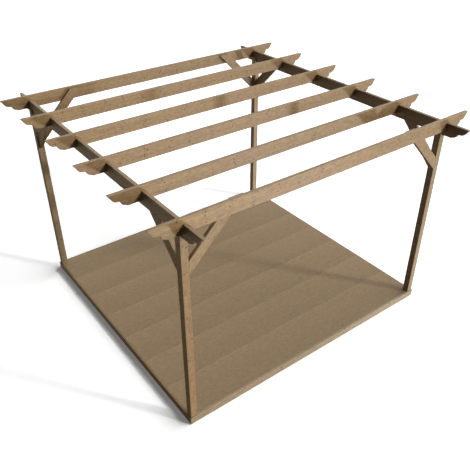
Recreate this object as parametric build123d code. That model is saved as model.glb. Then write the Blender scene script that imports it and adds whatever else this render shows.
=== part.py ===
from build123d import *
import os

# Wooden pergola on a low deck, sizes in millimetres
# X runs along the rafters, Y along the rails from front to back, Z up from the ground

# Deck
deck_length = 3090
deck_depth = 3000
deck_height = 77
board_thickness = 28
fascia_thickness = 20
joist_thickness = 45
joist_count = 7

# Posts
post_side = 68
post_setback = 9

# Rails and rafters share one timber section
beam_thickness = 33
beam_depth = 130
rail_bottom = 2047
rafter_rise = 47
rafter_overhang = 264
rail_overhang = 272
rafter_count = 6
inner_spread_share = 0.608

# Braces, with the foot's drop from the rail's underside and the set-down from the rafter's top
rafter_brace_width = 94
rafter_brace_drop = 371
rail_brace_width = 104
rail_brace_drop = 396
brace_set_down = 16

# Clearance at each side of a halving joint or post fork, and how far cuts run past a face
joint_clearance = 0.5
cut_overrun = 10

# Sculpted beam end: reach from the tip, then shares of reach and depth from the tip
rafter_end_reach = 152
rail_end_reach = 166
nose_share = 0.05
upper_lobe_shares = ((0.08, 0.175), (0.175, 0.35), (0.265, 0.472), (0.36, 0.535))
upper_ledge_shares = (0.64, 0.59)
lower_lobe_shares = ((0.665, 0.7), (0.71, 0.8), (0.775, 0.87), (0.85, 0.905))
lower_ledge_shares = (0.93, 0.935)

# Sizes that follow from those above
frame_height = deck_height - board_thickness
post_x = deck_length / 2 - post_setback - post_side / 2
post_y = deck_depth / 2 - post_setback - post_side / 2
rafter_bottom = rail_bottom + rafter_rise
post_top = rafter_bottom
rafter_brace_foot = rail_bottom - rafter_brace_drop
rail_brace_foot = rail_bottom - rail_brace_drop
rail_top = rail_bottom + beam_depth
rafter_top = rafter_bottom + beam_depth
lap_seat = (rail_top + rafter_bottom) / 2
rafter_length = 2 * (post_x + post_side / 2 + rafter_overhang)
rail_length = 2 * (post_y + post_side / 2 + rail_overhang)
outer_rafter_y = post_y + post_side / 2 + beam_thickness / 2
inner_rafter_spread = 2 * outer_rafter_y * inner_spread_share
fork_width = beam_thickness + 2 * joint_clearance
inner_gaps = rafter_count - 3


def block(x_size, y_size, low, high, x=0, y=0):
    box = Box(x_size, y_size, high - low, align=(Align.CENTER, Align.CENTER, Align.MIN))
    return Pos(x, y, low) * box


def end_edges(half_length, reach, bottom, side):
    def at(shares):
        along, down = shares
        return (side * (half_length - along * reach), bottom + (1 - down) * beam_depth)

    tip = at((0, 0))
    nose = at((0, nose_share))
    upper = [nose] + [at(shares) for shares in upper_lobe_shares]
    upper_ledge = at(upper_ledge_shares)
    lower = [upper_ledge] + [at(shares) for shares in lower_lobe_shares]
    lower_ledge = at(lower_ledge_shares)
    heel = at((1, 1))
    edges = [Line(tip, nose), Spline(*upper), Line(upper[-1], upper_ledge), Spline(*lower)]
    edges += [Line(lower[-1], lower_ledge), Line(lower_ledge, heel)]
    return edges, tip, heel


def beam(length, reach, bottom, plane):
    right, right_tip, right_heel = end_edges(length / 2, reach, bottom, 1)
    left, left_tip, left_heel = end_edges(length / 2, reach, bottom, -1)
    outline = Curve() + right + left + Line(left_tip, right_tip) + Line(left_heel, right_heel)
    return extrude(plane * make_face(outline), amount=beam_thickness / 2, both=True)


def rafter_rows():
    step = inner_rafter_spread / inner_gaps
    inner = [step * i - inner_rafter_spread / 2 for i in range(inner_gaps + 1)]
    return [-outer_rafter_y] + inner + [outer_rafter_y]


def rafter(y):
    piece = Pos(0, y, 0) * beam(rafter_length, rafter_end_reach, rafter_bottom, Plane.XZ)
    for x in (-post_x, post_x):
        piece -= block(fork_width, beam_thickness + cut_overrun, rafter_bottom - cut_overrun, lap_seat, x, y)
    return piece


def rail(x):
    piece = Pos(x, 0, 0) * beam(rail_length, rail_end_reach, rail_bottom, Plane.YZ)
    for y in rafter_rows():
        piece -= block(beam_thickness + cut_overrun, fork_width, lap_seat, rail_top + cut_overrun, x, y)
    return piece


def post(x, y):
    piece = block(post_side, post_side, deck_height, post_top, x, y)
    return piece - block(fork_width, post_side + cut_overrun, rail_bottom, post_top + cut_overrun, x, y)


def brace(face, side, width, foot, top, plane):
    upper = foot + width * 2 ** 0.5
    outline = [(face, foot), (face, upper)]
    outline += [(face - side * (top - upper), top), (face - side * (top - foot), top)]
    return extrude(plane * make_face(Polyline(*outline, close=True)), amount=beam_thickness / 2, both=True)


def rafter_brace(x_side, y_side):
    face = x_side * (post_x - post_side / 2)
    y = y_side * (post_y + post_side / 2 - beam_thickness / 2)
    top = rafter_top - brace_set_down
    return Pos(0, y, 0) * brace(face, x_side, rafter_brace_width, rafter_brace_foot, top, Plane.XZ)


def rail_brace(x_side, y_side):
    face = y_side * (post_y - post_side / 2)
    piece = brace(face, y_side, rail_brace_width, rail_brace_foot, rail_bottom, Plane.YZ)
    return Pos(x_side * post_x, 0, 0) * piece


def deck_surface():
    x_size = deck_length - 2 * fascia_thickness
    y_size = deck_depth - 2 * fascia_thickness
    return block(x_size, y_size, frame_height, deck_height)


def long_fascia(side):
    return block(deck_length, fascia_thickness, 0, deck_height, 0, side * (deck_depth - fascia_thickness) / 2)


def short_fascia(side):
    y_size = deck_depth - 2 * fascia_thickness
    return block(fascia_thickness, y_size, 0, deck_height, side * (deck_length - fascia_thickness) / 2)


def joists():
    y_size = deck_depth - 2 * fascia_thickness
    span = deck_length - 2 * fascia_thickness - joist_thickness
    rows = [span * i / (joist_count - 1) - span / 2 for i in range(joist_count)]
    return Compound(children=[block(joist_thickness, y_size, 0, frame_height, x) for x in rows])


def save(name, piece):
    export_step(piece, os.path.join("parts", name + ".step"))


os.makedirs("parts", exist_ok=True)
x_sides = {"left": -1, "right": 1}
y_sides = {"front": -1, "back": 1}

for y_name, y_side in y_sides.items():
    save(y_name + "_fascia", long_fascia(y_side))
    for x_name, x_side in x_sides.items():
        corner = y_name + "_" + x_name
        save(corner + "_post", post(x_side * post_x, y_side * post_y))
        save(corner + "_rafter_brace", rafter_brace(x_side, y_side))
        save(corner + "_rail_brace", rail_brace(x_side, y_side))

for x_name, x_side in x_sides.items():
    save(x_name + "_fascia", short_fascia(x_side))
    save(x_name + "_rail", rail(x_side * post_x))

for number, y in enumerate(rafter_rows(), 1):
    save("rafter_" + str(number), rafter(y))

save("deck_surface", deck_surface())
save("deck_joists", joists())
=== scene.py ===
import math
import bpy
import numpy as np
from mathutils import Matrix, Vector


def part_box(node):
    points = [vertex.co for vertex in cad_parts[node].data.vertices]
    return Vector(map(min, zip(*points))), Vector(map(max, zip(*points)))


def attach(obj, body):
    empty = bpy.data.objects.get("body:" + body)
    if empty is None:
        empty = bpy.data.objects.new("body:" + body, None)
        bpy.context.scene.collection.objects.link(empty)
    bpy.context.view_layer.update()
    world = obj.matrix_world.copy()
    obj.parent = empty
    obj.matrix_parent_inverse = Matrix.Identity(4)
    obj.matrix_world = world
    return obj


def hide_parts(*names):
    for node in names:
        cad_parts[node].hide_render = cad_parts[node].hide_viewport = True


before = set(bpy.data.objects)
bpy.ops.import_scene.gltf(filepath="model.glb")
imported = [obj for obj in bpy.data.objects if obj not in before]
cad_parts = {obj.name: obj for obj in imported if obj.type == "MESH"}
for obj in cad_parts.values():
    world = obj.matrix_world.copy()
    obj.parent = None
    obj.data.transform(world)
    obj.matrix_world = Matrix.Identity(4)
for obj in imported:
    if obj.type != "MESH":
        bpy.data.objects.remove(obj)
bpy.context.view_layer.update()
dice = np.random.default_rng(23)  # one seed, so every run saws the same boards
print("frame loaded:", len(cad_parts), "nodes")


def nodeBox(node):
    low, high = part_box(node)
    return np.array(low), np.array(high)


# Outlines, as (n, 2) arrays that run anticlockwise

# Catmull-Rom: between two points a cubic whose slope at each is half the step between its neighbours
def smoothThrough(points, steps=6):
    p = np.asarray(points, float)
    before = np.vstack([2 * p[0] - p[1], p[:-2]])[:, None]
    after = np.vstack([p[2:], 2 * p[-1] - p[-2]])[:, None]
    here, there = p[:-1, None], p[1:, None]
    s = np.linspace(0, 1, steps, endpoint=False)[None, :, None]
    curve = 2 * here + (there - before) * s + (2 * before - 5 * here + 4 * there - after) * s ** 2
    curve = (curve + (3 * here - before - 3 * there + after) * s ** 3) / 2
    return np.vstack([curve.reshape(-1, 2), p[-1:]])


# unit steps to the neighbours of each point, their lengths, and how far the outline turns there
def neighbours(outline):
    steps = [np.roll(outline, way, axis=0) - outline for way in (1, -1)]
    lengths = [np.linalg.norm(step, axis=1) for step in steps]
    back, ahead = [step / length[:, None] for step, length in zip(steps, lengths)]
    return back, ahead, np.minimum(*lengths), np.pi - np.arccos(np.clip((back * ahead).sum(1), -1, 1))


# Each sharp corner becomes the curve (1-s)^2 start + 2s(1-s) corner + s^2 end, which starts on one of
# its edges and ends on the other, and takes up to edgeShare of each.
# Also says which points lie within such a curve, and which at its two ends
def easeCorners(outline, radius, sharp, steps=4, edgeShare=0.45):
    back, ahead, room, turn = neighbours(outline)
    reach = np.where(sharp, np.minimum(radius * np.tan(turn / 2), edgeShare * room), 0)[:, None]
    s = np.linspace(0, 1, steps)[None, :, None]
    start = (outline + back * reach)[:, None]
    end = (outline + ahead * reach)[:, None]
    curve = (1 - s) ** 2 * start + 2 * s * (1 - s) * outline[:, None] + s ** 2 * end
    keep = sharp[:, None] | (np.arange(steps) == 0)[None]
    within = np.broadcast_to((s[..., 0] > 0) & (s[..., 0] < 1), keep.shape)
    return curve[keep], (within & sharp[:, None])[keep], (~within & sharp[:, None])[keep]


# How far a point moves when both its edges move inwards by one: (n0 + n1) / (1 + n0.n1)
def inwards(outline):
    edge = np.roll(outline, -1, axis=0) - outline
    normal = np.stack([edge[:, 1], -edge[:, 0]], 1) / np.linalg.norm(edge, axis=1)[:, None]
    before = np.roll(normal, 1, axis=0)
    return (before + normal) / (1 + (before * normal).sum(1))[:, None]


# The outline is carried through the thickness. Near each face, at angle a of the arris, it is drawn in
# by arris(1 - sin a) and its depth falls short by arris(1 - cos a), so every arris is a quarter round.
# Corners of the outline that turn by more than sharpTurn degrees are eased.
# Also says which points lie on a rounded edge, and where the flat sides end
def sweepOutline(outline, thickness, arris, cornerRadius, arcSteps=3, sharpTurn=25):
    angle = np.linspace(0, np.pi / 2, arcSteps + 1)
    drawIn = arris * (1 - np.sin(angle))
    depth = thickness / 2 - arris * (1 - np.cos(angle))
    drawIn = np.concatenate([drawIn, drawIn[::-1]])
    depth = np.concatenate([depth, -depth[::-1]])
    sharp = neighbours(outline)[3] > math.radians(sharpTurn)
    moves = inwards(outline)
    eased = [easeCorners(outline - inset * moves, cornerRadius, sharp) for inset in drawIn]
    rings = [np.column_stack([ring, np.full(len(ring), z)]) for (ring, _, _), z in zip(eased, depth)]
    _, within, atEnds = eased[0]
    onArc = (drawIn > 0) & (drawIn < arris)
    return np.stack(rings), onArc[:, None] | within[None], np.tile(atEnds, len(depth))


# four-sided faces from each ring to the next, and a flat face on the first and last
def gridFaces(rings, count):
    index = np.arange(rings * count).reshape(rings, count)
    ahead = np.roll(index, -1, axis=1)
    quads = np.stack([index[:-1], index[1:], ahead[1:], ahead[:-1]], axis=2).reshape(-1, 4)
    return quads.tolist() + [index[0].tolist(), index[-1][::-1].tolist()]


def rectangle(low, high):
    return np.array([low, (high[0], low[1]), high, (low[0], high[1])], float)


# rows: the outline's two axes, then the way it is carried
readXZ = np.array([[1, 0, 0], [0, 0, 1], [0, -1, 0]], float)
readYZ = np.array([[0, 1, 0], [0, 0, 1], [1, 0, 0]], float)

timber = {
    "arris": 0.002,  # radius of the eased long edges
    "endArris": 0.0015,  # and of the cut ends
    "pithReach": (0.035, 0.10),  # how far the heart of the tree lies from the middle of a piece
    "grainLength": 60,  # metres of grain, along which each piece has a place of its own
    "toneSpread": 0.5,  # of the pieces with no tone below
}
# painted light: how light each of the pieces that show most is, in steps of the look's toneRange;
# besides the wood's own tone, this stands in for the light, shade and sheen that fall on each piece
pieceToneAndLight = {
    "rafter_1": 1.4, "rafter_2": 0.2, "rafter_3": 0.2,
    "rafter_4": 0.1, "rafter_5": -0.25, "rafter_6": -1.1,
    "left_rail": 2.3, "right_rail": -0.6,
    "front_left_post": -0.2, "front_right_post": 0.7,
    "back_left_post": 1.6, "back_right_post": 0.6,
    "front_left_rafter_brace": 1.4, "front_right_rafter_brace": 1.7,
    "front_fascia": 4.3, "left_fascia": -3.6,
}
# painted sheen: how far each piece's colour is greyed to stand in for the sheen it catches; below zero,
# it has less sheen than the rest
pieceSheens = {
    "left_rail": 0.7, "right_rail": 0.4,
    "front_left_post": -0.4, "front_right_post": 1.0,
    "back_left_post": 0.9, "back_right_post": 0.7,
    "front_fascia": 1.7, "left_fascia": -0.6,
}


# One length of wood: its mesh arrays, and a grain place for every point (metres along, and two across)
def timberPart(
    outline, thickness, axes, origin, grainAxis, arris=timber["arris"], cornerRadius=timber["endArris"]
):
    local, worn, sideEnd = sweepOutline(outline, thickness, arris, cornerRadius)
    rings, count = local.shape[:2]
    place = np.asarray(origin, float) + local.reshape(-1, 3) @ axes
    grainAxis = np.asarray(grainAxis, float)
    upright = abs(grainAxis[2]) > 0.9
    helper = np.array([1.0, 0, 0] if upright else [0, 0, 1.0])
    across = helper - grainAxis * (helper @ grainAxis)
    across /= np.linalg.norm(across)
    side = np.cross(grainAxis, across)
    fromMiddle = place - (place.min(0) + place.max(0)) / 2
    heart, reach = dice.uniform(0, 2 * np.pi), dice.uniform(*timber["pithReach"])
    grain = fromMiddle @ np.stack([grainAxis, across, side], 1)
    grain += [dice.uniform(0, timber["grainLength"]), reach * np.cos(heart), reach * np.sin(heart)]
    ring = np.repeat(np.arange(rings), count)
    creased = np.isin(ring, [0, rings // 2 - 1, rings // 2, rings - 1])
    tone = np.full(len(place), np.clip(dice.normal(0, timber["toneSpread"]), -1, 1))
    part = dict(place=place, faces=gridFaces(rings, count), ring=ring, creased=creased, sideEnd=sideEnd)
    part.update(grain=grain, tone=tone, worn=worn.ravel().astype(float), axis=grainAxis, across=across)
    return part


# edges that turn by more than hardEdge degrees aren't shaded smooth
def addPiece(name, parts, material, nodes=(), hardEdge=33):
    starts = np.cumsum([0] + [len(p["place"]) for p in parts])
    faces = [[v + start for v in face] for p, start in zip(parts, starts) for face in p["faces"]]
    mesh = bpy.data.meshes.new(name)
    mesh.from_pydata(np.vstack([p["place"] for p in parts]), [], faces)
    mesh.polygons.foreach_set("use_smooth", np.ones(len(mesh.polygons), bool))
    mesh.set_sharp_from_angle(angle=math.radians(hardEdge))
    if "grain" in parts[0]:
        for part in parts:
            part["tone"][:] = pieceToneAndLight.get(nodes[0], part["tone"])
            part["grey"] = np.full(len(part["place"]), pieceSheens.get(nodes[0], 0.0))
        creaseRings(mesh, parts)
        storeGrain(mesh, parts)
    mesh.materials.append(material)
    piece = bpy.data.objects.new(name, mesh)
    bpy.context.collection.objects.link(piece)
    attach(piece, "root")
    if nodes:
        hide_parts(*nodes)
    return piece


# An edge along a ring is hard where that ring borders a flat face, and one across the rings is hard
# where a flat side ends
def creaseRings(mesh, parts):
    keys = ("ring", "creased", "sideEnd")
    ring, creased, sideEnd = [np.concatenate([p[key] for p in parts]) for key in keys]
    ends = np.empty(len(mesh.edges) * 2, np.int32)
    mesh.edges.foreach_get("vertices", ends)
    ends = ends.reshape(-1, 2)
    hard = np.empty(len(mesh.edges), bool)
    mesh.edges.foreach_get("use_edge_sharp", hard)
    sameRing = ring[ends[:, 0]] == ring[ends[:, 1]]
    hard |= np.where(sameRing, creased[ends[:, 0]], sideEnd[ends[:, 0]])
    mesh.edges.foreach_set("use_edge_sharp", hard)


def storeGrain(mesh, parts):
    grain = mesh.attributes.new("grain", "FLOAT_VECTOR", "POINT")
    grain.data.foreach_set("vector", np.vstack([p["grain"] for p in parts]).ravel())
    for name in ("tone", "grey", "worn"):
        values = mesh.attributes.new(name, "FLOAT", "POINT")
        values.data.foreach_set("value", np.concatenate([p[name] for p in parts]))
    normal = np.empty(len(mesh.polygons) * 3)
    mesh.polygons.foreach_get("normal", normal)
    # 1 on a face sawn across the grain, and 1 on a face square to the first way across it
    for name, key in (("endGrain", "axis"), ("crossFace", "across")):
        way = np.vstack([np.tile(p[key], (len(p["faces"]), 1)) for p in parts])
        values = mesh.attributes.new(name, "FLOAT", "FACE")
        values.data.foreach_set("value", np.abs((normal.reshape(-1, 3) * way).sum(1)))
    values = mesh.attributes.new("upFace", "FLOAT", "FACE")
    values.data.foreach_set("value", normal[2::3].copy())


# Shader groups

def addNode(tree, kind, inputs=None, **settings):
    node = tree.nodes.new(kind)
    for key, value in settings.items():
        setattr(node, key, value)
    for key, value in (inputs or {}).items():
        if isinstance(value, bpy.types.NodeSocket):
            tree.links.new(value, node.inputs[key])
        else:
            node.inputs[key].default_value = value
    return node


def calc(tree, operation, *values):
    return addNode(tree, "ShaderNodeMath", dict(enumerate(values)), operation=operation).outputs[0]


def vectorCalc(tree, operation, inputs, output=0):
    return addNode(tree, "ShaderNodeVectorMath", inputs, operation=operation).outputs[output]


def stretched(tree, vector, scale):
    return vectorCalc(tree, "MULTIPLY", {0: vector, 1: scale})


def noiseOn(tree, vector, scale, detail=2.0, roughness=0.5):
    inputs = {"Vector": stretched(tree, vector, scale), "Scale": 1.0}
    inputs.update({"Detail": detail, "Roughness": roughness})
    return addNode(tree, "ShaderNodeTexNoise", inputs)


def fade(tree, value, low, high):
    inputs = {"Value": value, "From Min": low, "From Max": high}
    return addNode(tree, "ShaderNodeMapRange", inputs, interpolation_type="SMOOTHSTEP").outputs[0]


def blendColour(tree, factor, first, second, kind="MIX"):
    inputs = {0: factor, 6: first, 7: second}
    return addNode(tree, "ShaderNodeMix", inputs, data_type="RGBA", blend_type=kind).outputs[2]


def newGroup(name, inputs, outputs):
    tree = bpy.data.node_groups.new(name, "ShaderNodeTree")
    for label, kind, value in inputs:
        tree.interface.new_socket(label, in_out="INPUT", socket_type=kind).default_value = value
    for label in outputs:
        tree.interface.new_socket(label, in_out="OUTPUT", socket_type="NodeSocketFloat")
    return tree, tree.nodes.new("NodeGroupInput").outputs, tree.nodes.new("NodeGroupOutput").inputs


# noises are in waves per metre, along the grain and across it; lengths in metres
softwood = {
    "whorlStep": 17.3,  # branches that each whorl is on from the last
    "knotEdge": (0.001, -0.0015),  # where a knot starts and is full, out from its rim
    "swirlReach": 0.02,  # the rings bend round a knot
    "swirl": 0.004,
    "lateStart": (0.3, 0.9),  # late wood builds up slowly over a year's ring
    "lateStop": (1.0, 0.93),  # and stops short
    "drift": (0.55, 6, 6),
    "streak": (0.8, 42, 42),
    "patch": (1.4, 9, 9),
    "mottle": (24, 44, 44),
    "fibre": (14, 700, 700),
    "knotDip": 0.4,
}


# Softwood as a solid: growth rings round the heart, knots in whorls, and streaks and fibres drawn out
# along the grain
def makeFigureGroup():
    inputs = [
        ("Grain", "NodeSocketVector", (0, 0, 0)),
        ("Ring Spacing", "NodeSocketFloat", 0.006),
        ("Wander", "NodeSocketFloat", 0.02),
        ("Whorl Spacing", "NodeSocketFloat", 0.23),
        ("Branch Spacing", "NodeSocketFloat", 0.03),
        ("Knot Size", "NodeSocketFloat", 0.006),
        ("Scatter", "NodeSocketFloat", 0.25),
        ("Cross Face", "NodeSocketFloat", 0.0),
    ]
    outputs = ["Late Wood", "Streak", "Patch", "Mottle", "Fibre", "Knot", "Height"]
    tree, given, result = newGroup("softwoodFigure", inputs, outputs)
    grain = given["Grain"]
    axes = addNode(tree, "ShaderNodeSeparateXYZ", {0: grain}).outputs

    # branches run square through each face, in a whorl at every year's growth
    years = calc(tree, "DIVIDE", axes[0], given["Whorl Spacing"])
    whorl = calc(tree, "FLOOR", years)
    fromWhorl = calc(tree, "SUBTRACT", calc(tree, "FRACT", years), 0.5)
    turned = calc(tree, "GREATER_THAN", given["Cross Face"], 0.7)
    wide = addNode(tree, "ShaderNodeMix", {0: turned, 2: axes[1], 3: axes[2]}).outputs[0]
    row = calc(tree, "DIVIDE", wide, given["Branch Spacing"])
    row = calc(tree, "MULTIPLY_ADD", whorl, softwood["whorlStep"], row)
    branch = addNode(tree, "ShaderNodeTexVoronoi", {"W": row, "Scale": 1.0}, voronoi_dimensions="1D")
    chance = addNode(tree, "ShaderNodeSeparateColor", {0: branch.outputs["Color"]}).outputs
    offset = calc(tree, "MULTIPLY", calc(tree, "SUBTRACT", chance[1], 0.5), given["Scatter"])
    along = calc(tree, "MULTIPLY", calc(tree, "SUBTRACT", fromWhorl, offset), given["Whorl Spacing"])
    aside = calc(tree, "MULTIPLY", branch.outputs["Distance"], given["Branch Spacing"])
    squares = [calc(tree, "POWER", way, 2.0) for way in (along, aside)]
    reach = calc(tree, "SQRT", calc(tree, "ADD", *squares))
    radius = calc(tree, "MULTIPLY", given["Knot Size"], calc(tree, "SQRT", chance[0]))
    gap = calc(tree, "SUBTRACT", reach, radius)
    knot = fade(tree, gap, *softwood["knotEdge"])
    swirl = calc(tree, "MULTIPLY", fade(tree, gap, softwood["swirlReach"], 0.0), softwood["swirl"])

    drift = noiseOn(tree, grain, softwood["drift"]).outputs["Color"]
    centred = vectorCalc(tree, "SUBTRACT", {0: drift, 1: (0.5, 0.5, 0.5)})
    sway = vectorCalc(tree, "SCALE", {0: centred, "Scale": given["Wander"]})
    swayed = vectorCalc(tree, "ADD", {0: grain, 1: sway})
    fromHeart = vectorCalc(tree, "LENGTH", {0: stretched(tree, swayed, (0, 1, 1))}, "Value")
    year = calc(tree, "DIVIDE", calc(tree, "ADD", fromHeart, swirl), given["Ring Spacing"])
    season = calc(tree, "FRACT", year)
    rise, stop = [fade(tree, season, *softwood[key]) for key in ("lateStart", "lateStop")]
    late = calc(tree, "MULTIPLY", rise, stop)

    streak = noiseOn(tree, swayed, softwood["streak"], 3, 0.6).outputs[0]
    patch = noiseOn(tree, swayed, softwood["patch"], 2).outputs[0]
    mottle = noiseOn(tree, swayed, softwood["mottle"], 3, 0.6).outputs[0]
    fibre = noiseOn(tree, swayed, softwood["fibre"], 2).outputs[0]
    height = calc(tree, "ADD", calc(tree, "MULTIPLY", late, 0.5), calc(tree, "MULTIPLY", fibre, 0.5))
    height = calc(tree, "SUBTRACT", height, calc(tree, "MULTIPLY", knot, softwood["knotDip"]))
    for label, value in zip(outputs, (late, streak, patch, mottle, fibre, knot, height)):
        tree.links.new(value, result[label])
    return tree


figureGroup = makeFigureGroup()

# linear colours of the planed wood; knot sizes in metres
frameLook = {
    "pale": (0.433, 0.283, 0.130, 1),
    "warm": (0.366, 0.228, 0.099, 1),
    "pink": (0.413, 0.249, 0.121, 1),
    "late": (0.314, 0.182, 0.076, 1),
    "knot": (0.150, 0.078, 0.036, 1),
    "figure": {"Whorl Spacing": 0.232, "Branch Spacing": 0.026, "Knot Size": 0.0088, "Scatter": 0.25},
    "lateShare": 0.3,
    "knotShare": 0.85,
    "toneRange": 0.08,  # these five make the colour lighter or darker
    "endShade": 0.25,
    "fibre": 0.12,
    "mottle": 0.9,
    # painted highlight: rounded edges are made lighter, as where they catch the light
    "edgeHighlight": 0.1,
    "sheenTint": (-0.07, 0.0, 0.12),  # painted sheen: added to each colour's share, times a piece's sheen
    "topShade": (0.73, 0.77, 0.86, 1),  # painted shade and sheen: faces that look up are made darker and bluer
    "roughness": (0.4, 0.6),  # between the fibres and on them
    "bump": 0.25,
    "bumpDepth": 0.001,
    "bounce": 0.2,  # share of the light handed on to other timbers
}
deckLook = {
    "pale": (0.331, 0.230, 0.124, 1),
    "warm": (0.315, 0.219, 0.118, 1),
    "pink": (0.325, 0.222, 0.123, 1),
    "late": (0.293, 0.200, 0.105, 1),
    "knot": (0.143, 0.093, 0.052, 1),
    "figure": {"Whorl Spacing": 0.052, "Branch Spacing": 0.038, "Knot Size": 0.004, "Scatter": 0.9},
    "lateShare": 0.1,
    "knotShare": 0.85,
    "toneRange": 0.08,
    "endShade": 0.25,
    "fibre": 0.12,
    "mottle": 0.6,
    # painted highlight: rounded edges are made lighter, as where they catch the light
    "edgeHighlight": 1.0,
    "sheenTint": (0.0, 0.0, 0.0),
    "topShade": (1, 1, 1, 1),
    "roughness": (0.62, 0.82),
    "bump": 0.2,
    "bumpDepth": 0.001,
    "bounce": 0.25,
}


def attributeOf(tree, name, output):
    return addNode(tree, "ShaderNodeAttribute", attribute_name=name).outputs[output]


def timberMaterial(name, look):
    material = bpy.data.materials.new(name)
    material.use_nodes = True
    tree = material.node_tree
    shader = tree.nodes["Principled BSDF"]
    figure = addNode(tree, "ShaderNodeGroup", node_tree=figureGroup)
    tree.links.new(attributeOf(tree, "grain", "Vector"), figure.inputs["Grain"])
    tree.links.new(attributeOf(tree, "crossFace", "Fac"), figure.inputs["Cross Face"])
    for label, value in look["figure"].items():
        figure.inputs[label].default_value = value
    seen = figure.outputs
    colour = blendColour(tree, fade(tree, seen["Streak"], 0.3, 0.7), look["pale"], look["warm"])
    colour = blendColour(tree, fade(tree, seen["Patch"], 0.5, 0.7), colour, look["pink"])
    late = calc(tree, "MULTIPLY", seen["Late Wood"], look["lateShare"])
    colour = blendColour(tree, late, colour, look["late"])
    knot = calc(tree, "MULTIPLY", seen["Knot"], look["knotShare"])
    colour = blendColour(tree, knot, colour, look["knot"])
    effects = [
        # the wood's tone, which on the pieces that show most is also painted light and shade
        (attributeOf(tree, "tone", "Fac"), look["toneRange"]),
        (fade(tree, attributeOf(tree, "endGrain", "Fac"), 0.5, 0.95), -look["endShade"]),
        (calc(tree, "SUBTRACT", seen["Fibre"], 0.5), look["fibre"]),
        (calc(tree, "SUBTRACT", seen["Mottle"], 0.5), look["mottle"]),
        # painted highlight along the rounded edges
        (attributeOf(tree, "worn", "Fac"), look["edgeHighlight"]),
        (tree.nodes.new("ShaderNodeLightPath").outputs["Is Diffuse Ray"], look["bounce"] - 1),
    ]
    tone = 1.0
    for effect, share in effects:  # each multiplies the tone by 1 + share x effect
        tone = calc(tree, "MULTIPLY", tone, calc(tree, "MULTIPLY_ADD", effect, share, 1.0))
    shade = addNode(tree, "ShaderNodeCombineColor", {0: tone, 1: tone, 2: tone}).outputs[0]
    colour = blendColour(tree, 1.0, colour, shade, "MULTIPLY")
    # painted sheen: each piece's colour is greyed by its own share of sheen
    tint = {0: attributeOf(tree, "grey", "Fac"), 1: look["sheenTint"], 2: (1, 1, 1)}
    colour = blendColour(tree, 1.0, colour, vectorCalc(tree, "MULTIPLY_ADD", tint), "MULTIPLY")
    # painted shade: faces that look up take the darker, bluer top colour
    upwards = fade(tree, attributeOf(tree, "upFace", "Fac"), 0.6, 0.95)
    colour = blendColour(tree, upwards, colour, look["topShade"], "MULTIPLY")
    tree.links.new(colour, shader.inputs["Base Color"])
    smooth, rough = look["roughness"]
    roughness = calc(tree, "MULTIPLY_ADD", seen["Fibre"], rough - smooth, smooth)
    tree.links.new(roughness, shader.inputs["Roughness"])
    relief = {"Strength": look["bump"], "Distance": look["bumpDepth"], "Height": seen["Height"]}
    tree.links.new(addNode(tree, "ShaderNodeBump", relief).outputs[0], shader.inputs["Normal"])
    return material


frameTimber = timberMaterial("frameTimber", frameLook)
deckTimber = timberMaterial("deckTimber", deckLook)
print("materials made")

# Beams with sculpted ends, halved where they cross

beamEnd = {
    "rafterReach": 0.152,  # length of the sculpted part
    "railReach": 0.166,
    "tip": [(0, 0)],  # this and the rest in shares of reach and depth
    "upperLobe": [(0, 0.05), (0.08, 0.175), (0.175, 0.35), (0.265, 0.472), (0.36, 0.535)],
    "lowerLobe": [(0.64, 0.59), (0.665, 0.7), (0.71, 0.8), (0.775, 0.87), (0.85, 0.905)],
    "heel": [(0.93, 0.935), (1, 1)],
}
beams = {
    "rafters": 6,
    "clearance": 0.0005,  # at each side of a halving joint or a post's fork
}


# from the tip down to the heel, as (along, down)
def endOutline(reach, depth):
    lobes = [smoothThrough(beamEnd["upperLobe"]), smoothThrough(beamEnd["lowerLobe"])]
    shares = np.vstack([beamEnd["tip"]] + lobes + [beamEnd["heel"]])
    return shares * [reach, depth]


# from one edge of the beam to the cut's seat and back; way is 1 along the underside, -1 along the top
def cutCorners(middle, width, seat, edge, way):
    first, last = middle - way * width / 2, middle + way * width / 2
    return [(first, edge), (first, seat), (last, seat), (last, edge)]


# cuts are (middle, width, seat), from below or from above
def beamOutline(half, low, high, reach, cutsBelow=(), cutsAbove=()):
    end = endOutline(reach, high - low)
    below = [cutCorners(*cut, low, 1) for cut in sorted(cutsBelow)]
    above = [cutCorners(*cut, high, -1) for cut in sorted(cutsAbove, reverse=True)]
    rightEnd = np.stack([half - end[:, 0], high - end[:, 1]], 1)[::-1]
    leftEnd = np.stack([end[:, 0] - half, high - end[:, 1]], 1)
    return np.vstack(below + [rightEnd] + above + [leftEnd])


corners = [y + "_" + x for y in ("front", "back") for x in ("left", "right")]
rafterNames = ["rafter_" + str(i + 1) for i in range(beams["rafters"])]
railBoxes = [nodeBox(side + "_rail") for side in ("left", "right")]
rafterBoxes = [nodeBox(name) for name in rafterNames]
railLow, railHigh = railBoxes[0]
rafterLow, rafterHigh = rafterBoxes[0]
lapSeat = (railHigh[2] + rafterLow[2]) / 2
railThickness = railHigh[0] - railLow[0]
rafterThickness = rafterHigh[1] - rafterLow[1]
slack = 2 * beams["clearance"]

for name, (low, high) in zip(rafterNames, rafterBoxes):
    cuts = [((a[0] + b[0]) / 2, railThickness + slack, lapSeat) for a, b in railBoxes]
    outline = beamOutline(high[0], low[2], high[2], beamEnd["rafterReach"], cutsBelow=cuts)
    part = timberPart(outline, rafterThickness, readXZ, (0, (low[1] + high[1]) / 2, 0), (1, 0, 0))
    addPiece(name + "_planed", [part], frameTimber, [name])

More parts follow.
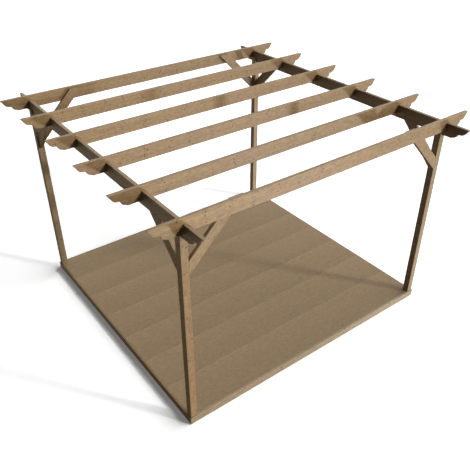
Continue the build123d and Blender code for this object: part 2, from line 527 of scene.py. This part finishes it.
for side, (low, high) in zip(("left", "right"), railBoxes):
    cuts = [((a[1] + b[1]) / 2, rafterThickness + slack, lapSeat) for a, b in rafterBoxes]
    outline = beamOutline(high[1], low[2], high[2], beamEnd["railReach"], cutsAbove=cuts)
    part = timberPart(outline, railThickness, readYZ, ((low[0] + high[0]) / 2, 0, 0), (0, 1, 0))
    addPiece(side + "_rail_planed", [part], frameTimber, [side + "_rail"])
print("rafters and rails made")

# Posts, forked at the top for the rail

for corner in corners:
    low, high = nodeBox(corner + "_post")
    middle = (low + high) / 2
    fork = railThickness / 2 + beams["clearance"]
    outline = rectangle((low[0], low[2]), (high[0], high[2]))
    slot = [(middle[0] + fork, high[2]), (middle[0] + fork, railLow[2])]
    slot += [(middle[0] - fork, railLow[2]), (middle[0] - fork, high[2])]
    outline = np.vstack([outline[:3], slot, outline[3:]])
    part = timberPart(outline, high[1] - low[1], readXZ, (0, middle[1], 0), (0, 0, 1))
    addPiece(corner + "_post_planed", [part], frameTimber, [corner + "_post"])
print("posts made")

# Braces at 45 degrees, cut plumb at the post and level at the top

brace = {"rafterWidth": 0.094, "railWidth": 0.104}


# a slanted bar that goes in as far as it rises; foot is its place on the post and the way it leans
def braceOutline(low, high, foot, width):
    rise = high - low
    cut = width * math.sqrt(2)  # length of a plumb or level cut
    outline = np.array([(0, 0), (rise, rise), (rise - cut, rise), (0, cut)])
    outline[:, 0] = foot[0] + foot[1] * outline[:, 0]
    outline[:, 1] += low
    return outline if foot[1] > 0 else outline[::-1]


for corner in corners:
    for kind, lengthAxis, axes in (("rafter", 0, readXZ), ("rail", 1, readYZ)):
        name = corner + "_" + kind + "_brace"
        low, high = nodeBox(name)
        middle = (low + high) / 2
        way = -1.0 if middle[lengthAxis] > 0 else 1.0  # from the post towards the middle
        footPlace = high[lengthAxis] if way < 0 else low[lengthAxis]
        outline = braceOutline(low[2], high[2], (footPlace, way), brace[kind + "Width"])
        origin = middle * [1 - axes[0][i] - axes[1][i] for i in range(3)]
        grainAxis = np.array([way * (lengthAxis == 0), way * (lengthAxis == 1), 1]) / math.sqrt(2)
        part = timberPart(outline, (high - low)[1 - lengthAxis], axes, origin, grainAxis)
        addPiece(name + "_planed", [part], frameTimber, [name])
print("braces made")

# Deck: boards along X on joists, with a fascia all round

deck = {
    "boards": 21,
    "gap": 0.0001,  # the boards all but touch
    "boardArris": 0.0003,
    "bundleArris": 0.0015,  # on the outer edges of a bundle
    "bundle": 3,  # boards cut from one plank, which pales from its front edge to its back
    "bundleTones": (-1.1, 1.0),
    "ownTone": 0.2,  # share of a board's own tone
    "seamHighlight": 0.0,  # painted highlight on the seams inside a bundle
    "endArris": 0.001,
    "joists": 7,
    "joistThickness": 0.045,
}

deckLow, deckHigh = nodeBox("deck_surface")
span = deckHigh[0] - deckLow[0]
pitch = (deckHigh[1] - deckLow[1] + deck["gap"]) / deck["boards"]
boards = []
for i in range(deck["boards"]):
    front = deckLow[1] + i * pitch
    outline = rectangle((front, deckLow[2]), (front + pitch - deck["gap"], deckHigh[2]))
    place = i % deck["bundle"]
    outer = [place == 0, place == deck["bundle"] - 1]  # front and back edge
    arris = np.where(outer, deck["bundleArris"], deck["boardArris"])[[0, 1, 1, 0]]
    board = timberPart(outline, span, readYZ, (0, 0, 0), (1, 0, 0), deck["endArris"], arris)
    share = (board["place"][:, 1] - front + place * pitch) / (deck["bundle"] * pitch)
    board["tone"] = board["tone"] * deck["ownTone"] + np.interp(share, (0, 1), deck["bundleTones"])
    side = (board["place"][:, 1] > front + pitch / 2).astype(int)
    # painted highlight: only the rounded edges at a bundle's front and back stay lightened, as light
    # lines
    board["worn"] = board["worn"] * np.where(np.array(outer)[side], 1.0, deck["seamHighlight"])
    boards.append(board)
addPiece("deck_boards", boards, deckTimber, ["deck_surface"])

joistLow, joistHigh = nodeBox("deck_joists")
halfJoist = deck["joistThickness"] / 2
firstJoist = joistLow[0] + halfJoist
joistPlaces = np.linspace(firstJoist, -firstJoist, deck["joists"])
span = joistHigh[1] - joistLow[1]
joists = []
for x in joistPlaces:
    outline = rectangle((x - halfJoist, joistLow[2]), (x + halfJoist, joistHigh[2]))
    joists.append(timberPart(outline, span, readXZ, (0, 0, 0), (0, 1, 0), deck["endArris"]))
addPiece("deck_joists_planed", joists, deckTimber, ["deck_joists"])

for side in ("front", "back", "left", "right"):
    low, high = nodeBox(side + "_fascia")
    if side in ("front", "back"):
        outline, span, axes, along = rectangle(low[1:], high[1:]), high[0] - low[0], readYZ, (1, 0, 0)
    else:
        outline, span, axes, along = rectangle(low[::2], high[::2]), high[1] - low[1], readXZ, (0, 1, 0)
    part = timberPart(outline, span, axes, (0, 0, 0), along, deck["endArris"], timber["arris"])
    addPiece(side + "_fascia_planed", [part], frameTimber, [side + "_fascia"])
print("deck made")

# Screws: bronze heads, all but flush

screws = {
    "radius": 0.004,
    "proud": 0.0005,
    "sides": 10,
    "profile": [(0.25, -0.4), (0.42, 0.9), (0.88, 1), (1, 0.5), (1, -4)],  # in radius and proud
    "fromEdge": 0.024,  # across a deck board
    "pairs": 5,  # along a side fascia
    "underPost": 0.05,
    "levels": (0.27, 0.73),  # up a fascia
    "braceShares": (0.75, 1.1),  # in from the top of a brace, then up from its underside, in widths
    "braceRises": (0.4, 0.6),
    "forkShares": (-0.2, 0.2),  # along a fork's cheek
    "bronze": (0.245, 0.165, 0.095, 1),
    "worn": (0.345, 0.245, 0.150, 1),
    "rub": (420, 420, 420),  # patches of wear per metre
    "metal": 0.8,
    "roughness": (0.3, 0.6),
}


def screwMaterial():
    material = bpy.data.materials.new("bronzedSteel")
    material.use_nodes = True
    tree = material.node_tree
    shader = tree.nodes["Principled BSDF"]
    shader.inputs["Metallic"].default_value = screws["metal"]
    place = tree.nodes.new("ShaderNodeTexCoord").outputs["Object"]
    rub = noiseOn(tree, place, screws["rub"], 3).outputs[0]
    colour = blendColour(tree, fade(tree, rub, 0.4, 0.65), screws["bronze"], screws["worn"])
    tree.links.new(colour, shader.inputs["Base Color"])
    smooth, rough = screws["roughness"]
    tree.links.new(calc(tree, "MULTIPLY_ADD", rub, rough - smooth, smooth), shader.inputs["Roughness"])
    return material


# A head at p facing w: ring k is p + proud_k w + radius_k (u cos a + v sin a), for a all round
def screwHeads(places, facing):
    w = np.asarray(facing, float)
    u = np.roll(w, 1)
    v = np.cross(w, u)
    radius, height = np.array(screws["profile"]).T * [[screws["radius"]], [screws["proud"]]]
    a = np.linspace(0, 2 * np.pi, screws["sides"], endpoint=False)
    turn = np.cos(a)[:, None] * u + np.sin(a)[:, None] * v
    head = radius[:, None, None] * turn + height[:, None, None] * w
    faces = gridFaces(len(radius), len(a))
    return [dict(place=p + head.reshape(-1, 3), faces=faces) for p in np.asarray(places, float)]


# every place that the rows make with each other
def crossed(*rows):
    return np.stack(np.meshgrid(*rows), -1).reshape(-1, len(rows))


bronzedSteel = screwMaterial()
edges = deckLow[1] + pitch * np.arange(deck["boards"])
boardRows = np.concatenate([edges + screws["fromEdge"], edges + pitch - screws["fromEdge"]])
deckPlaces = crossed(joistPlaces, boardRows, [deckHigh[2]])
postPlaces = np.array([sum(nodeBox(corner + "_post"))[:2] / 2 for corner in corners])
fromPosts = np.abs(deckPlaces[:, None, :2] - postPlaces).max(2).min(1)
heads = screwHeads(deckPlaces[fromPosts > screws["underPost"]], (0, 0, 1))
addPiece("deck_screws", heads, bronzedSteel)

heads = []
levels = deckHigh[2] * np.array(screws["levels"])
for side, axis in (("front", 1), ("back", 1), ("left", 0), ("right", 0)):
    low, high = nodeBox(side + "_fascia")
    face = high[axis] if high[axis] > 0 else low[axis]
    along = joistPlaces if axis == 1 else np.linspace(low[1], high[1], 2 * screws["pairs"] + 1)[1::2]
    places = crossed(along, [face], levels) if axis == 1 else crossed([face], along, levels)
    heads += screwHeads(places, np.eye(3)[axis] * np.sign(face))
addPiece("fascia_screws", heads, bronzedSteel)

heads = []
for corner in corners:
    low, high = nodeBox(corner + "_rafter_brace")
    inner = low[1] if low[1] > 0 else high[1]
    towards = -np.sign(low[0])
    foot = high[0] if towards < 0 else low[0]
    fromFoot = (high[2] - low[2]) - brace["rafterWidth"] * np.array(screws["braceShares"])
    rise = fromFoot + brace["rafterWidth"] * np.array(screws["braceRises"])
    places = [(foot + towards * x, inner, low[2] + z) for x, z in zip(fromFoot, rise)]
    heads += screwHeads(places, (0, -np.sign(inner), 0))
    low, high = nodeBox(corner + "_post")
    along = (low[1] + high[1]) / 2 + (high[1] - low[1]) * np.array(screws["forkShares"])
    for face, way in ((low[0], -1), (high[0], 1)):
        heads += screwHeads(crossed([face], along, [(railLow[2] + high[2]) / 2]), (way, 0, 0))
addPiece("frame_screws", heads, bronzedSteel)
print("screws made")

# Floor, light and camera

stageLook = {
    "floorSize": 60.0,
    "floorColour": (1.35, 1.35, 1.35, 1),  # burnt out to white, as the camera sees it
    "floorGlow": 0.13,
    "floorBounce": (0.03, 0.03, 0.03, 1),
    "skyStrength": 0.01,
    "offFloor": ("softLight", "rightLight"),  # lamps that leave the floor to its own
}
# way: towards the light on the ground; height and size in degrees
lamps = {
    "keyLight": {"way": (0.592, -0.806), "height": 29.0, "size": 5.5, "strength": 1.25},
    "lowLight": {"way": (0.626, -0.780), "height": -28.3, "size": 2.8, "strength": 0.98},
    "softLight": {"way": (0.76, -0.65), "height": 17.0, "size": 60.0, "strength": 0.75},
    "rightLight": {"way": (1.0, 0.0), "height": 47.0, "size": 60.0, "strength": 1.65},
    "leftLight": {
        "way": (-0.6, 0.8), "height": -10.0, "size": 60.0, "strength": 0.43, "colour": (1, 0.92, 0.8)
    },
    "backLight": {"way": (0.3, 0.95), "height": -12.0, "size": 60.0, "strength": 1.2},
    "floorLight": {"way": (0.97, -0.25), "height": 25.0, "size": 75.0, "strength": 4.3},
}
nearLamp = {"place": (2.0, -4.5, 0.2), "aim": (0, 0, 0.8), "size": 1.5, "power": 13.6}
view = {
    "place": (-3.2671, -4.4822, 4.3707),
    "turn": (0.9814, 0.0011, -0.6414),
    "lens": 44.2036,
}


def rayShare(tree, *kinds):
    path = tree.nodes.new("ShaderNodeLightPath").outputs
    share = path[kinds[0]]
    for kind in kinds[1:]:
        share = calc(tree, "MAXIMUM", share, path[kind])
    return share


def addFloor():
    half = stageLook["floorSize"] / 2
    u, v = np.meshgrid([-half, half], [-half, half])
    mesh = bpy.data.meshes.new("floor")
    mesh.from_pydata(np.stack([u, v, np.zeros_like(u)], 2).reshape(-1, 3), [], [(0, 1, 3, 2)])
    material = bpy.data.materials.new("paleFloor")
    material.use_nodes = True
    tree = material.node_tree
    tree.nodes.remove(tree.nodes["Principled BSDF"])
    white = addNode(tree, "ShaderNodeBsdfDiffuse", {"Color": stageLook["floorColour"]}).outputs[0]
    glow = addNode(tree, "ShaderNodeEmission", {"Strength": stageLook["floorGlow"]}).outputs[0]
    seen = addNode(tree, "ShaderNodeAddShader", {0: white, 1: glow}).outputs[0]
    bounce = addNode(tree, "ShaderNodeBsdfDiffuse", {"Color": stageLook["floorBounce"]}).outputs[0]
    toCamera = rayShare(tree, "Is Camera Ray")
    both = addNode(tree, "ShaderNodeMixShader", {0: toCamera, 1: bounce, 2: seen}).outputs[0]
    tree.links.new(both, tree.nodes["Material Output"].inputs["Surface"])
    mesh.materials.append(material)
    floor = bpy.data.objects.new("floor", mesh)
    floor.visible_shadow = False  # lets the low light up through it
    bpy.context.collection.objects.link(floor)
    return floor


def addSky():
    world = bpy.data.worlds.new("sky")
    bpy.context.scene.world = world
    world.use_nodes = True
    tree = world.node_tree
    lit = tree.nodes["Background"]
    lit.inputs["Color"].default_value = (1, 1, 1, 1)
    lit.inputs["Strength"].default_value = stageLook["skyStrength"]
    white = addNode(tree, "ShaderNodeBackground", {"Color": (1, 1, 1, 1), "Strength": 1.0}).outputs[0]
    seen = rayShare(tree, "Is Camera Ray", "Is Glossy Ray", "Is Transmission Ray")
    both = addNode(tree, "ShaderNodeMixShader", {0: seen, 1: lit.outputs[0], 2: white}).outputs[0]
    tree.links.new(both, tree.nodes["World Output"].inputs["Surface"])


def addLamp(name, way, height, size, strength, colour=(1, 1, 1)):
    lamp = bpy.data.lights.new(name, "SUN")
    lamp.energy = strength
    lamp.color = colour
    lamp.angle = math.radians(size)
    flat = math.cos(math.radians(height))
    towards = Vector((way[0] * flat, way[1] * flat, math.sin(math.radians(height))))
    lampObject = bpy.data.objects.new(name, lamp)
    lampObject.rotation_euler = towards.to_track_quat("Z", "Y").to_euler()
    bpy.context.collection.objects.link(lampObject)
    return lampObject


# the state says if the lamps light all but the floor or the floor alone
def linkToFloor(floor, state, lampObjects):
    group = bpy.data.collections.new("floor" + state.capitalize())
    group.objects.link(floor)
    group.collection_objects[0].light_linking.link_state = state
    for lampObject in lampObjects:
        lampObject.light_linking.receiver_collection = group


def addNearLamp():
    lamp = bpy.data.lights.new("nearLight", "AREA")
    lamp.shape = "DISK"
    lamp.size = nearLamp["size"]
    lamp.energy = nearLamp["power"]
    lampObject = bpy.data.objects.new("nearLight", lamp)
    lampObject.location = nearLamp["place"]
    towards = Vector(nearLamp["place"]) - Vector(nearLamp["aim"])
    lampObject.rotation_euler = towards.to_track_quat("Z", "Y").to_euler()
    lampObject.visible_camera = False
    bpy.context.collection.objects.link(lampObject)


def addCamera():
    camera = bpy.data.cameras.new("camera")
    camera.lens = view["lens"]
    cameraObject = bpy.data.objects.new("camera", camera)
    cameraObject.location = view["place"]
    cameraObject.rotation_euler = view["turn"]
    bpy.context.collection.objects.link(cameraObject)
    bpy.context.scene.camera = cameraObject


floor = addFloor()
addSky()
lampObjects = {lampName: addLamp(lampName, **lamp) for lampName, lamp in lamps.items()}
linkToFloor(floor, "EXCLUDE", [lampObjects[name] for name in stageLook["offFloor"]])
linkToFloor(floor, "INCLUDE", [lampObjects["floorLight"]])
addNearLamp()
addCamera()
bpy.context.scene.view_settings.view_transform = "Standard"
print("stage set")
